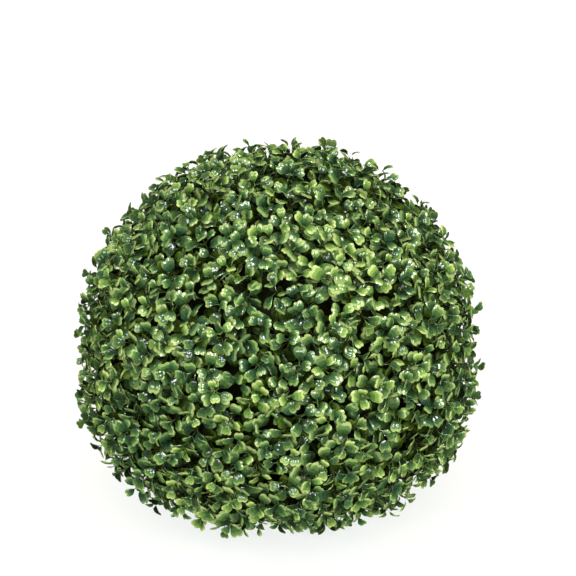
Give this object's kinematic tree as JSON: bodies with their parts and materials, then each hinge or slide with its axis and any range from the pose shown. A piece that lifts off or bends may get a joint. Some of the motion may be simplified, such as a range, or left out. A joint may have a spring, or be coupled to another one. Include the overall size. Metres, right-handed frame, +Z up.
{
  "type": "artificial box topiary ball",
  "caption": "Clipped ball of artificial box foliage: leafy mats all over a moulded core, standing on a short flat foot hidden beneath.",
  "frame": {"origin": "middle of the flat cut under the foot, at ground level", "axes": "+Z straight up through the middle of the ball; +Y away from the viewer, +X to the viewer's right"},
  "size_m": [0.3743, 0.378, 0.3394],
  "materials": {
    "leaves": "moulded box leaves, dark green with lime margins, glossy",
    "moulded_plastic": "dark olive-brown moulded plastic, dull"
  },
  "bodies": {
    "root": {"foot_stem": "moulded_plastic", "core_ball": "moulded_plastic", "foliage_crown": "leaves", "foliage_upper_1": "leaves", "foliage_upper_2": "leaves", "foliage_upper_3": "leaves", "foliage_upper_4": "leaves", "foliage_upper_5": "leaves", "foliage_upper_6": "leaves", "foliage_lower_1": "leaves", "foliage_lower_2": "leaves", "foliage_lower_3": "leaves", "foliage_lower_4": "leaves", "foliage_lower_5": "leaves", "foliage_lower_6": "leaves", "foliage_under": "leaves"}
  },
  "joints": []
}
